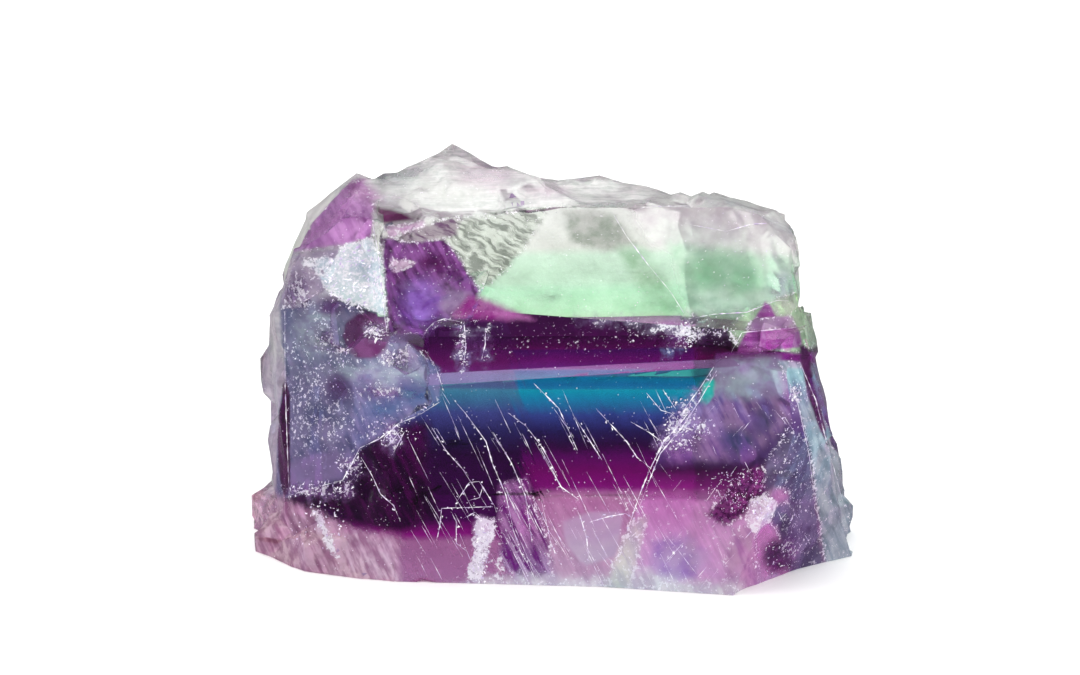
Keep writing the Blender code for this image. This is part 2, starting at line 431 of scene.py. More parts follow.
displace("cleavage_steps", "VORONOI", 1.5 * MM, 0.22 * MM, distance_metric="CHEBYCHEV")
displace("fine_grain", "CLOUDS", 0.7 * MM, 0.10 * MM)
for vertex in stone.data.vertices:
    vertex.co.z = max(vertex.co.z, 0.0)
select_only(stone)
bpy.ops.object.shade_smooth_by_angle(angle=math.radians(16))
print("broken corners moved:", len(stone.data.vertices) - len(held))

# %% [markdown]
# ## Places on the stone
# The growth zones lie flat in the crystal, but dip a little towards the back. Their height is measured
# square to that dip, so one number, the level, says which zone a point is in. Smaller features have an
# outline, given by a few places in the picture. Lines of sight carry those to the stone, and each corner
# of the mesh then stores how many millimetres it lies inside the outline. From that number a finish can
# make a sharp border, a ragged one or a soft one.

# %% Levels, and lines of sight onto the stone
skin_of_stone = BVHTree.FromPolygons(
    [v.co for v in stone.data.vertices], [face.vertices[:] for face in stone.data.polygons]
)


def on_stone(across, down):
    """The point of the stone seen at a place in the picture, and its normal, or None."""
    point, normal, _, _ = skin_of_stone.ray_cast(camera.location, line_of_sight(across, down))
    return (point, normal) if point else None


def flat_place(across, down, depth=8.0):
    """(x, level) in mm of what is seen at a place in the picture. Beside the stone, depth stands for it."""
    found = on_stone(across, down)
    if found:
        return found[0].x / MM, found[0].dot(UP) / MM
    sight = line_of_sight(across, down)
    point = camera.location + sight * ((-depth * MM - camera.location.y) / sight.y)
    return point.x / MM, point.dot(UP) / MM


corners = np.array([v.co for v in stone.data.vertices]) / MM
corner_levels = corners @ np.array(UP)
print("levels run from", round(corner_levels.min(), 1), "to", round(corner_levels.max(), 1), "mm")


# %% [markdown]
# For each corner, the distance to the nearest side of the outline is measured in millimetres. It counts
# as positive where a line drawn sideways from the corner crosses the outline an odd number of times.

# %% Outlines become distances on the mesh
FARTHEST = 8


def inside_by(outline):
    """How far each corner lies inside an outline of (x, level) places, in mm, and below 0 outside it."""
    place = np.stack([corners[:, 0], corner_levels], axis=1)
    nearest = np.full(len(place), 1e9)
    inside = np.zeros(len(place), bool)
    for start, end in zip(outline, outline[1:] + outline[:1]):
        start, end = np.array(start), np.array(end)
        along = end - start
        share = np.clip(((place - start) @ along) / (along @ along), 0, 1)
        gap = np.linalg.norm(place - start - share[:, None] * along, axis=1)
        nearest = np.minimum(nearest, gap)
        crosses = (start[1] > place[:, 1]) != (end[1] > place[:, 1])
        rise = np.where(crosses, (place[:, 1] - start[1]) / (end[1] - start[1] + 1e-12), 0)
        inside ^= crosses & (place[:, 0] < start[0] + rise * along[0])
    return np.where(inside, nearest, -nearest)


def oval(across, down, wide, high):
    """Ten places round an oval in the picture."""
    turns = [2 * math.pi * n / 10 for n in range(10)]
    return [(across + wide * math.cos(t), down + high * math.sin(t)) for t in turns]


def store(name, back, outlines):
    """Stores outlines as one attribute. The region reaches from the front to where y is back, in mm."""
    distance = np.full(len(corners), -1e9)
    for outline in outlines:
        distance = np.maximum(distance, inside_by([flat_place(*place) for place in outline]))
    distance = np.minimum(distance, back - corners[:, 1])
    stored = stone.data.attributes.new(name, "FLOAT", "POINT")
    stored.data.foreach_set("value", np.clip(distance, -FARTHEST, FARTHEST).astype(np.float32))
    return distance


# %% [markdown]
# A patch is a part of the surface with a look of its own. Its entries are: its name, two colours, the
# grain that mixes them, its share of frost (haze), its share of white specks, which are partly frost flakes
# and partly painted glints (sparkle), how far its border frays (fringe) and fades (soft) in mm,
# how far back it reaches, and its outlines. Later patches cover earlier ones. The first are the nearly
# colourless top and the green window under it.

# %% Patches of the top and the window
Patch = namedtuple("Patch", "name colour other grain haze sparkle fringe soft back outlines")
PATCHES = [
    Patch("top", (252, 253, 250), (224, 229, 224), "combed", 0.5, 0.1, 0.8, 0.5, 40, [[
        (280, 120), (330, 190), (375, 178), (430, 212), (480, 226), (560, 204), (640, 203), (662, 198),
        (760, 203), (900, 190), (900, 60), (280, 60)]]),
    # Grey-green patches on the top. The small second oval, just under the crest, is a painted shadow of the
    # crest.
    Patch("dim_top", (164, 186, 174), (214, 222, 214), "cloud", 0.2, 0.1, 1.2, 1.0, 6, [
        oval(398, 172, 26, 8), oval(492, 158, 10, 4)]),
    Patch("rosy_top", (240, 220, 231), (218, 206, 216), "combed", 0.3, 0.1, 1.2, 1.2, 6, [
        oval(484, 178, 26, 12), oval(545, 192, 20, 6), oval(708, 214, 20, 8), oval(784, 254, 8, 14)]),
    Patch("white_top", (246, 248, 244), (232, 236, 228), "cloud", 0.5, 0.3, 1.0, 0.8, 6, [
        oval(452, 192, 34, 7)]),
    Patch("pale_window", (248, 250, 245), (238, 230, 234), "cloud", 0.5, 0.2, 0.8, 0.8, 6, [[
        (630, 206), (662, 200), (792, 206), (796, 262), (760, 262), (716, 250), (684, 256), (650, 246)]]),
    Patch("grey_window", (140, 152, 138), (186, 188, 182), "cloud", 0.05, 0.12, 0.6, 0.5, 6, [[
        (564, 212), (606, 211), (618, 218), (636, 246), (600, 250), (570, 240)]]),
    Patch("window_veil", (160, 204, 166), (190, 228, 196), "cloud", 0.05, 0.08, 0.5, 0.6, 6, [[
        (618, 247), (641, 247), (690, 316), (666, 316), (640, 292)]]),
    Patch("right_window", (216, 247, 222), (184, 230, 196), "cloud", 0.45, 0.12, 0.8, 0.7, 6, [[
        (668, 244), (790, 258), (796, 300), (745, 309), (690, 316), (676, 290)]]),
    Patch("green_window", (142, 218, 162), (174, 234, 186), "cloud", 0.4, 0.1, 1.0, 1.0, 30, [
        oval(708, 272, 24, 15), oval(742, 276, 16, 16)]),
    Patch("bright_corner", (226, 250, 238), (200, 240, 220), "cloud", 0.2, 0.2, 0.8, 0.8, 6, [
        oval(780, 288, 14, 16)]),
]

# %% [markdown]
# The left of the stone is rough: a lilac corner, a crust of white ice-like crystals, and a raised plate
# whose many tiny fractures make it look grey-blue. Under the plate's edge the front is dark again.

# %% Patches of the left side
PATCHES += [
    Patch("left_corner", (218, 138, 222), (174, 90, 182), "curtain", 0.28, 0.14, 0.5, 0.25, 2, [[
        (290, 258), (297, 228), (330, 196), (362, 178), (374, 206), (372, 238), (342, 246), (301, 251)]]),
    Patch("left_crest", (232, 184, 228), (190, 120, 186), "cloud", 0.5, 0.4, 0.8, 0.6, 2, [[
        (344, 192), (364, 180), (383, 199), (372, 204), (356, 198)]]),
    Patch("shoulder", (202, 186, 206), (162, 140, 182), "cloud", 0.35, 0.3, 0.6, 0.5, 2, [[
        (250, 330), (262, 262), (285, 250), (301, 251), (342, 246), (350, 300), (350, 330), (300, 345)]]),
    Patch("plate", (146, 134, 182), (100, 100, 148), "curtain", 0.34, 0.34, 0.4, 0.25, 3, [[
        (262, 310), (345, 300), (390, 330), (440, 368), (440, 400), (400, 425), (360, 450), (345, 480),
        (285, 499), (262, 505)]]),
    Patch("grey_plate", (180, 188, 208), (142, 138, 180), "level", 0.34, 0.24, 0.8, 0.9, 3, [
        oval(316, 330, 22, 26), oval(372, 374, 50, 8)]),
    Patch("blue_plate", (66, 88, 140), (88, 108, 154), "level", 0.2, 0.15, 0.8, 0.9, 3, [
        oval(412, 394, 22, 12), oval(384, 410, 14, 6)]),
    Patch("speckled_plate", (150, 142, 186), (96, 98, 144), "cloud", 0.3, 0.5, 1.4, 0.9, 3, [[
        (288, 376), (320, 372), (352, 392), (348, 430), (322, 446), (288, 444)]]),
    Patch("smooth_plate", (144, 124, 178), (162, 142, 194), "cloud", 0.3, 0.06, 0.4, 0.4, 3, [[
        (288, 462), (330, 452), (350, 452), (342, 478), (290, 494)]]),
    Patch("plum_shadow", (92, 44, 112), (112, 84, 140), "cloud", 0.15, 0.1, 0.6, 0.7, 3, [
        oval(330, 306, 14, 10), oval(338, 388, 10, 12), oval(398, 324, 14, 18)]),
    Patch("icy", (234, 243, 250), (188, 212, 230), "cloud", 0.6, 0.66, 0.6, 0.25, 2, [[
        (342, 246), (371, 238), (383, 266), (386, 316), (354, 304), (328, 292), (320, 279), (336, 262)],
        [(300, 262), (324, 256), (336, 262), (318, 270)]]),
    Patch("purple_spot", (92, 20, 88), (122, 60, 122), "cloud", 0.2, 0.1, 0.3, 0.2, 3, [
        oval(366, 336, 24, 24)]),
    Patch("under_ledge", (64, 0, 62), (28, 0, 34), "curtain", 0.12, 0.12, 0.4, 0.6, 6, [[
        (285, 500), (345, 481), (360, 451), (400, 426), (430, 420), (425, 470), (440, 520), (400, 532),
        (352, 524), (330, 508), (300, 506)]]),
    Patch("left_strip", (222, 210, 220), (196, 184, 200), "level", 0.45, 0.05, 0.2, 0.2, 8, [[
        (255, 285), (284, 270), (286, 380), (281, 400), (278, 440), (276, 496), (255, 496)]]),
    Patch("left_sliver", (74, 6, 70), (90, 30, 84), "cloud", 0.1, 0.1, 0.15, 0.12, 8, [[
        (284, 376), (290, 395), (290, 490), (284, 500), (279, 470), (278, 430), (282, 400)]]),
    Patch("foot", (246, 202, 222), (178, 116, 152), "curtain", 0.34, 0.1, 0.8, 0.5, 8, [[
        (235, 495), (285, 500), (320, 512), (352, 530), (400, 536), (400, 640), (230, 640)]]),
]

# %% [markdown]
# On the right a wedge has slid along a fault, so its zones don't meet those of the front. It is bruised
# along that fault, and its lower corner is a mosaic of small broken faces.

# %% Patches of the wedge and the right side
PATCHES += [
    Patch("lump", (222, 250, 210), (154, 186, 148), "cloud", 0.2, 0.2, 0.4, 0.3, 6, [[
        (728, 330), (745, 312), (795, 292), (830, 300), (830, 342), (800, 352), (735, 345)]]),
    Patch("trapezoid", (176, 58, 172), (206, 122, 202), "level", 0.15, 0.06, 0.1, 0.15, 4, [
        [(736, 354), (746, 330), (797, 326), (803, 347)], [(750, 326), (767, 298), (780, 325)]]),
    Patch("pale_shelf", (206, 166, 210), (170, 110, 176), "cloud", 0.3, 0.2, 0.2, 0.2, 4, [[
        (744, 331), (754, 318), (792, 316), (796, 327)]]),
    Patch("wedge_lilac", (172, 132, 186), (112, 76, 146), "curtain", 0.34, 0.14, 0.4, 0.5, 4, [[
        (716, 366), (776, 360), (800, 410), (770, 440), (748, 460), (672, 460), (664, 450), (690, 405)]]),
    Patch("wedge_top", (182, 204, 212), (170, 152, 198), "cloud", 0.36, 0.1, 0.5, 0.6, 4, [[
        (718, 362), (778, 358), (792, 396), (740, 398), (706, 392)]]),
    Patch("wedge_slate", (70, 76, 124), (112, 92, 156), "curtain", 0.24, 0.12, 0.6, 0.7, 4, [
        oval(736, 442, 20, 14), oval(764, 420, 10, 14)]),
    Patch("slab", (200, 216, 222), (140, 164, 178), "curtain", 0.42, 0.3, 0.15, 0.15, 6, [[
        (777, 360), (797, 402), (811, 455), (816, 500), (828, 580), (870, 590), (870, 480), (830, 440),
        (815, 398), (801, 362)]]),
    Patch("flank", (128, 120, 160), (84, 66, 112), "cloud", 0.3, 0.32, 0.5, 0.4, 6, [[
        (764, 467), (786, 430), (808, 440), (816, 500), (826, 572), (790, 580), (776, 530), (752, 500)]]),
    Patch("plum_flank", (112, 24, 112), (74, 50, 88), "cloud", 0.2, 0.1, 0.7, 0.6, 6, [
        oval(778, 556, 17, 18)]),
    Patch("rosy_flank", (220, 166, 206), (180, 116, 176), "curtain", 0.4, 0.15, 0.5, 0.4, 6, [[
        (738, 524), (754, 530), (756, 590), (730, 590), (724, 560)], oval(778, 496, 12, 8)]),
    Patch("grainy_band", (88, 12, 88), (150, 60, 140), "grit", 0.15, 0.2, 0.4, 0.35, 4, [[
        (764, 466), (744, 472), (707, 514), (722, 526), (744, 516), (766, 492)]]),
    Patch("white_blob", (248, 228, 246), (232, 190, 232), "cloud", 0.6, 0.7, 0.5, 0.3, 4, [
        [(750, 500), (764, 497), (776, 502), (770, 520), (756, 532), (746, 522)]]),
    Patch("right_sliver", (92, 10, 92), (120, 60, 120), "cloud", 0.1, 0.1, 0.15, 0.12, 8, [[
        (800, 345), (807, 343), (813, 380), (823, 420), (828, 446), (819, 428), (808, 395), (801, 365)]]),
    Patch("teal_spark", (20, 226, 196), (20, 190, 180), "cloud", 0.5, 0.0, 0.1, 0.15, 3, [[
        (699, 406), (704, 382), (716, 378), (714, 396), (705, 407)]]),
]

# %% [markdown]
# The foot is pale, with curtains of cracks and white streaks that rise from it. The bruises are where the
# stone was knocked: along ledges, at the ends of cracks and round the fault.

# %% Patches of the foot, and bruises
PATCHES += [
    Patch("purple_curtain", (112, 10, 118), (214, 170, 210), "curtain", 0.2, 0.25, 0.8, 0.4, 3, [[
        (500, 484), (526, 478), (548, 540), (556, 588), (520, 588), (500, 560)]]),
    Patch("lilac_panel", (194, 170, 200), (218, 196, 216), "cloud", 0.5, 0.1, 0.3, 0.2, 3, [[
        (562, 522), (590, 512), (624, 512), (616, 556), (584, 566), (566, 544)]]),
    Patch("violet_foot", (172, 122, 200), (216, 178, 220), "cloud", 0.35, 0.3, 0.8, 0.6, 3, [[
        (652, 542), (688, 534), (708, 556), (694, 582), (656, 584)]]),
    Patch("white_streak", (250, 240, 250), (222, 200, 226), "curtain", 0.35, 0.9, 1.0, 0.3, 3, [
        [(477, 515), (492, 519), (494, 532), (484, 562), (480, 592), (467, 592), (473, 556)],
        [(498, 556), (502, 562), (504, 590), (496, 590)], [(313, 512), (319, 511), (338, 556), (334, 557)]]),
    Patch("snowy_rim", (246, 236, 242), (214, 190, 212), "curtain", 0.5, 0.5, 1.2, 0.6, 3, [[
        (440, 584), (520, 574), (590, 580), (640, 570), (700, 584), (740, 580), (760, 620), (440, 620)]]),
    Patch("cream_streak", (238, 232, 220), (206, 196, 204), "curtain", 0.5, 0.4, 0.7, 0.4, 3, [[
        (632, 522), (646, 515), (638, 556), (622, 594), (600, 594), (616, 560)]]),
    Patch("bruises", (176, 146, 196), (104, 66, 128), "cloud", 0.12, 0.76, 2.2, 0.8, 3, [
        [(680, 400), (697, 394), (698, 408), (684, 430), (664, 450), (658, 446), (670, 420)],
        [(716, 424), (700, 436), (680, 452), (668, 456), (673, 444), (690, 430), (706, 421)],
        [(676, 318), (692, 318), (690, 334), (668, 356)], oval(796, 395, 7, 10),
        oval(708, 334, 20, 4), oval(664, 326, 24, 2.5), oval(610, 321, 30, 1),
        oval(463, 346, 2.5, 26), oval(484, 345, 1.5, 16), oval(320, 490, 32, 4), oval(352, 468, 8, 8),
        oval(398, 358, 12, 5), oval(326, 336, 5, 12), oval(336, 350, 12, 3), oval(300, 290, 10, 14),
        oval(384, 392, 16, 6), oval(790, 548, 7, 7), oval(374, 330, 11, 9), oval(392, 438, 8, 12)]),
    # The hollow between window and wall, with the ripples of its broken side. Its patches stay last: the
    # fibres are the longest sum of all, and the renderer can hold only so many values at a time.
    Patch("ripples", (122, 130, 120), (218, 228, 214), "fibres", 0.12, 0.14, 0.8, 0.4, 3, [[
        (430, 222), (500, 214), (548, 208), (540, 226), (526, 246), (505, 271), (485, 287), (462, 280),
        (450, 258)]]),
    Patch("hollow", (132, 60, 148), (64, 12, 74), "curtain", 0.3, 0.24, 0.5, 0.25, 3, [[
        (380, 236), (410, 240), (444, 238), (462, 262), (480, 290), (474, 306), (450, 319), (424, 334),
        (388, 334)]]),
    Patch("hollow_rim", (84, 50, 86), (150, 136, 146), "fibres", 0.15, 0.12, 0.5, 0.3, 3, [[
        (386, 238), (424, 224), (462, 216), (456, 236), (410, 243)]]),
    Patch("hollow_core", (34, 4, 40), (70, 8, 66), "cloud", 0.1, 0.0, 0.5, 0.5, 3, [oval(432, 262, 13, 8)]),
    Patch("violet_glow", (158, 98, 220), (114, 50, 166), "cloud", 0.3, 0.08, 0.4, 1.3, 3, [
        oval(420, 304, 17, 22)]),
    Patch("pale_wall", (156, 122, 168), (120, 70, 136), "cloud", 0.3, 0.15, 0.4, 0.5, 3, [
        [(450, 288), (470, 294), (468, 306), (446, 316), (440, 304)]]),
    Patch("magenta_foot_of_window", (150, 20, 130), (184, 90, 168), "cloud", 0.1, 0.1, 0.5, 0.4, 3, [[
        (468, 296), (486, 298), (534, 319), (450, 319)]]),
    Patch("pink_shelf", (232, 200, 228), (180, 120, 176), "cloud", 0.5, 0.5, 0.5, 0.2, 3, [
        [(383, 226), (424, 220), (426, 226), (390, 238)], [(391, 260), (416, 262), (404, 270), (391, 272)]]),
    Patch("dark_shelf", (98, 24, 80), (126, 44, 104), "cloud", 0.2, 0.0, 0.15, 0.2, 3, [[
        (372, 206), (393, 210), (421, 219), (383, 223)]]),
]

# %% [markdown]
# All outlines are stored on the mesh now. The wedge is one more, and four marks say which polished face
# is which, because a few zone borders follow the edges between those faces exactly.

# %% Store the patches, the wedge and the marks
for patch in PATCHES:
    print(patch.name, "covers", int((store(patch.name, patch.back, patch.outlines) > 0).sum()), "corners")
store("wedge", 6, [[
    (716, 352), (714, 372), (690, 405), (665, 440), (640, 500), (604, 600), (900, 640), (900, 352)]])
SAME_WAY_MARK = 0.9999
face_normals = np.array([face.normal for face in stone.data.polygons])
for mark, names in {
    "chamfer": ["narrow chamfer"],
    "below_chamfer": ["lower front", "wedge"],
    "band": ["dark band"],
    "window": ["window"],
}.items():
    directions = np.array([facing(*POLISHED[name]) for name in names])
    marked = (face_normals @ directions.T > SAME_WAY_MARK).any(axis=1)
    stored = stone.data.attributes.new(mark, "FLOAT", "FACE")
    stored.data.foreach_set("value", marked.astype(np.float32))
    print(mark, "has", int(marked.sum()), "faces")

# %% [markdown]
# ## The fluorite finish
# The stone is glass-clear with a refraction of 1.434. Light takes on colour as it enters and again as it
# leaves, so the colour of a zone is shared out between the front and the back. Broken faces are partly
# frosted, which lets light through but scatters it, and bruises are white.

# %% A ramp of zones, and coordinates in millimetres
RAMP_LOW, RAMP_HIGH = -7.0, 34.0


def zones(wire, *steps):
    """A colour for each level: steps are (level in mm, colour as a picture gives it)."""
    stops = [((at - RAMP_LOW) / (RAMP_HIGH - RAMP_LOW), seen(*colour)) for at, colour in steps]
    place = (wire - RAMP_LOW) / (RAMP_HIGH - RAMP_LOW)
    return node(wire.tree, "ShaderNodeValToRGB", {"stops": stops}, {0: place})


FLUORITE_IOR = 1.434
fluorite, tree = new_material("fluorite")
objects = node(tree, "ShaderNodeTexCoord")["Object"]
in_mm = node(tree, "ShaderNodeVectorMath", {"operation": "SCALE"}, {0: objects, "Scale": 1000.0})
split = node(tree, "ShaderNodeSeparateXYZ", {}, {0: in_mm})
x, y, z = split["X"], split["Y"], split["Z"]
height = z * UP.z + y * UP.y
print("the finish counts levels from", RAMP_LOW, "to", RAMP_HIGH, "mm")


# %% [markdown]
# Nothing in a crystal is even. These noises are shared by the whole finish: clouds, ragged borders,
# glitter, level streaks, curtains that lean like the cracks, and fibres that lie along the ripples.
# Stretching the coordinates before a noise turns round blots into streaks. All are ordinary noise nodes,
# read in millimetres.

# %% Noises and grains
def noise(place, size, detail=3.0, rough=0.55):
    """Noise whose blots are about size mm wide, from 0 to 1."""
    sockets = {"Vector": place, "Scale": 1 / size, "Detail": detail, "Roughness": rough}
    return node(tree, "ShaderNodeTexNoise", {}, sockets)


def stretched(by):
    scale = tuple(1000.0 * share for share in by)
    return node(tree, "ShaderNodeMapping", {}, {"Vector": objects, "Scale": scale})


def combined(first, second, third):
    return node(tree, "ShaderNodeCombineXYZ", {}, {0: first, 1: second, 2: third})


def attribute(name):
    return node(tree, "ShaderNodeAttribute", {"attribute_name": name})["Fac"]


CRACK_LEAN = math.radians(27)
across_cracks = x * math.cos(CRACK_LEAN) + height * math.sin(CRACK_LEAN)
along_cracks = x * -math.sin(CRACK_LEAN) + height * math.cos(CRACK_LEAN)
crack_place = combined(across_cracks, along_cracks * 0.1, y * 0.3)
broad = noise(in_mm, 7.0, 2.0) - 0.5
cloud = noise(in_mm, 2.0, 3.0, 0.6) - 0.5
ragged = noise(in_mm, 1.1, 5.0, 0.7) - 0.5
fine = noise(in_mm, 0.3, 2.0)
glitter = noise(in_mm, 0.34, 5.0, 0.75) - 0.5
streaks = noise(stretched((0.1, 1.0, 1.3)), 0.55, 3.0) - 0.5
combed = noise(stretched((0.07, 1.0, 1.6)), 0.3, 4.0, 0.6) - 0.5
curtain = noise(crack_place, 0.5, 3.0, 0.6) - 0.5
RIPPLE_LEAN = math.radians(32)
across_ripples = x * math.sin(RIPPLE_LEAN) + height * math.cos(RIPPLE_LEAN) + cloud * 1.6
along_ripples = x * math.cos(RIPPLE_LEAN) - height * math.sin(RIPPLE_LEAN)
ripple_place = combined(across_ripples, along_ripples * 0.16, y * 0.3)
fibres = noise(ripple_place, 0.42, 3.0, 0.6) - 0.5
polished = attribute("polish")
grains = {
    "cloud": (cloud + ragged * 0.4).between(-0.16, 0.16),
    "combed": (combed + cloud * 0.25).between(-0.12, 0.12),
    "level": (streaks + cloud * 0.5).between(-0.14, 0.14),
    "curtain": (curtain + cloud * 0.4).between(-0.14, 0.14),
    "fibres": fibres.between(-0.1, 0.1),
    "grit": (fine - 0.5).between(-0.1, 0.1),
}
print("grains:", ", ".join(grains))

# %% [markdown]
# The layer is the height in the crystal, made a little uneven. Behind the window the dark zone thins out.
# Each of three ramps turns the layer into a colour: one for the left of the front, one for its right,
# where the zones lie higher, and one for the wedge.

# %% Zones, from the foot to the crest
thinning = (y + 8.0).at_least(0.0) * height.between(12.5, 15.5) * 0.3
layer = height + thinning + broad * 0.4 + curtain * 0.6 * (1.0 - height.between(11.5, 13.0)) + ragged * 0.1

# Three edges of the polished front follow a zone border exactly.
FAR = 100.0
layer = layer.at_most(13.25 + FAR * (1.0 - attribute("below_chamfer")))
layer = layer.at_least(13.8 * attribute("band")).at_most(17.7 + FAR * (1.0 - attribute("band")))
layer = layer.at_least(18.2 * attribute("window"))

right_zones = zones(
    layer,
    (-5.0, (246, 230, 236)), (-1.0, (208, 164, 196)), (3.6, (188, 126, 170)), (4.3, (132, 10, 120)),
    (5.8, (106, 3, 94)), (6.9, (84, 4, 88)), (7.8, (44, 4, 56)), (8.9, (34, 22, 74)), (10.2, (48, 56, 124)),
    (11.6, (20, 118, 158)), (13.2, (4, 160, 168)), (13.6, (128, 24, 112)), (14.6, (114, 3, 80)),
    (15.6, (60, 2, 62)), (18.0, (44, 4, 48)), (18.15, (212, 242, 212)), (20.5, (206, 249, 217)),
    (23.6, (216, 249, 224)), (24.5, (232, 236, 228)), (30.0, (246, 248, 244)),
)
left_zones = zones(
    layer,
    (-5.0, (244, 222, 228)), (-0.7, (216, 162, 190)), (0.5, (156, 14, 132)), (1.8, (64, 2, 74)),
    (7.2, (38, 4, 52)), (8.8, (38, 30, 80)), (10.4, (58, 60, 122)), (12.0, (52, 112, 144)),
    (13.3, (84, 128, 146)), (13.7, (112, 24, 100)), (14.4, (96, 6, 74)), (15.6, (56, 4, 62)),
    (18.0, (54, 12, 66)),
    (18.15, (208, 238, 212)), (20.5, (206, 247, 217)), (23.6, (216, 247, 224)), (24.5, (230, 234, 226)),
    (30.0, (244, 245, 241)),
)
wedge_zones = zones(
    layer,
    (-5.0, (232, 190, 220)), (-1.0, (226, 168, 216)), (3.2, (210, 136, 200)), (4.4, (138, 8, 124)),
    (5.8, (60, 2, 62)), (7.0, (80, 54, 118)), (9.5, (108, 76, 142)), (11.5, (140, 108, 164)),
    (13.8, (140, 160, 172)), (14.6, (130, 24, 130)), (17.5, (110, 50, 120)), (18.4, (150, 180, 150)),
    (24.0, (190, 220, 200)), (30.0, (225, 228, 224)),
)
print("nodes for the zones:", len(tree.nodes))

# %% [markdown]
# Factors from 0 to 1 lay one look over another, like sheets with soft or frayed holes. Each patch mixes
# in its colour, and with it its haze and its white specks, part frost flakes and part painted glints. Crisp
# patches get a line of those white specks on their border, partly a painted glint along it.

# %% One zone beside another, and the patches on top
rough = 1.0 - polished
fault = (x + layer * 0.12 + ragged * 0.6 + curtain * 5.0 + 1.0).between(-0.5, 0.5)
colour = mixed(fault, left_zones, right_zones)
wedge = (attribute("wedge") + ragged * 0.4).between(-0.1, 0.1)
colour = mixed(wedge, colour, wedge_zones)
foot_top = fault * 4.4 * (1.0 - wedge) + wedge * 3.6 + 0.2
foggy_foot = (1.0 - (layer - foot_top).between(-0.6, 0.1)) * polished
haze = rough * 0.12 + foggy_foot * (0.5 + curtain * 0.9).at_least(0.2)
haze = haze.at_least(y.between(-2.0, 3.0) * rough * (layer.between(16.0, 19.0) * 0.35 + 0.25))
haze = haze.at_least(wedge * 0.22).at_least((1.0 - layer.between(-4.0, 0.0)) * 0.7)
sparkle = rough * 0.1 + foggy_foot * 0.3
for patch in PATCHES:
    border = (attribute(patch.name) + ragged * patch.fringe * 1.4).between(-patch.soft, patch.soft)
    inside = mixed(grains[patch.grain], opaque(seen(*patch.other)), opaque(seen(*patch.colour)))
    colour = mixed(border, colour, inside)
    haze = haze + (patch.haze - haze) * border
    sparkle = sparkle + (patch.sparkle - sparkle) * border
    # Crisp patches get a line of white specks on their border: frost, and a painted glint along the edge.
    if patch.sparkle > 0.11 and patch.soft < 0.5:
        sparkle = sparkle + border * (1.0 - border) * 1.4
chamfer_face = attribute("chamfer") * (0.8 + streaks * 0.8)
colour = mixed(chamfer_face, colour, opaque(seen(162, 126, 182)))
haze = haze.at_least(chamfer_face * 0.22)
print("nodes with", len(PATCHES), "patches on top:", len(tree.nodes))

# %% [markdown]
# Two Principled shaders are mixed. One is clear, and tints light as it comes in and goes out: strongly at
# the front and faintly at the back, so that the front's zones are what one sees. The other is frosted and
# half lets light through. The haze and the white specks, which are partly frost flakes and partly painted
# glints, say how much there is of it. Bump adds grain finer than the mesh.

# %% Clear stone, frosted stone, and specks of frost and painted glint
# Painted glints on the polished dark band: white specks spread over it, some of them frost flecks.
in_band = layer.between(13.9, 15.4) * (1.0 - layer.between(17.6, 18.0)) * polished
sparkle = sparkle + in_band * (cloud * 1.2 + 0.12).at_least(0.0)
flake = (glitter + sparkle * 0.26 - 0.18).between(0.0, 0.03)
dots = node(tree, "ShaderNodeTexVoronoi", {}, {"Vector": in_mm, "Scale": 2.2})
dot = (0.14 - dots["Distance"]).between(0.0, 0.05) * ragged.between(-0.08, 0.12)
white = (dot * 0.8).at_least(flake * (0.75 + cloud).at_least(0.35))


def from_front_to_back(front, front_value, back, back_value):
    """A number that changes evenly with the depth y, between two depths in mm."""
    span = {"From Min": front, "From Max": back, "To Min": front_value, "To Max": back_value}
    return node(tree, "ShaderNodeMapRange", {}, {"Value": y, **span})


strength = from_front_to_back(-6.0, 1.7, 6.0, 0.3)
tint = node(tree, "ShaderNodeGamma", {}, {"Color": colour, "Gamma": strength})
deeper = from_front_to_back(-2.0, 1.0, 4.0, 2.0)
body = node(tree, "ShaderNodeGamma", {}, {"Color": colour, "Gamma": deeper})
milk = mixed((white * 1.2).at_most(1.0), body, opaque(seen(246, 242, 250)))
cloudy = (haze * (1.0 + cloud * 1.2)).at_least(white).at_least(polished * 0.008)

relief = (ragged + fine * 0.3 + streaks * 0.4 + glitter * 0.4) * rough
bump = node(tree, "ShaderNodeBump", {}, {"Strength": 0.5, "Distance": 0.0001, "Height": relief})
gloss = rough * 0.1 + 0.02



def stone_shader(base, roughness, transmission):
    """A shader for fluorite that lets this share of the light through."""
    sockets = {"Base Color": base, "Roughness": roughness, "IOR": FLUORITE_IOR}
    sockets.update({"Transmission Weight": transmission, "Normal": bump})
    return node(tree, "ShaderNodeBsdfPrincipled", {}, sockets)


clear = stone_shader(tint, gloss, 1.0)
frosted = stone_shader(milk, 0.5, 0.5)
blend = node(tree, "ShaderNodeMixShader", {}, {0: cloudy, 1: clear, 2: frosted})
node(tree, "ShaderNodeOutputMaterial", {}, {"Surface": blend})
stone.data.materials.clear()
stone.data.materials.append(fluorite)
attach(stone, "root")
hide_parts("fluorite_block")
print("nodes in the fluorite finish:", len(tree.nodes))

# %% [markdown]
# ## Cracks that reach the surface
# Thin white lines run over the polished front: cleavage cracks that end there, all in the crystal's own
# few directions. Air in them scatters the light. Painted lines would be flat, so each is drawn as a curve
# with a tiny thickness, laid on the stone by lines of sight, then made a mesh.

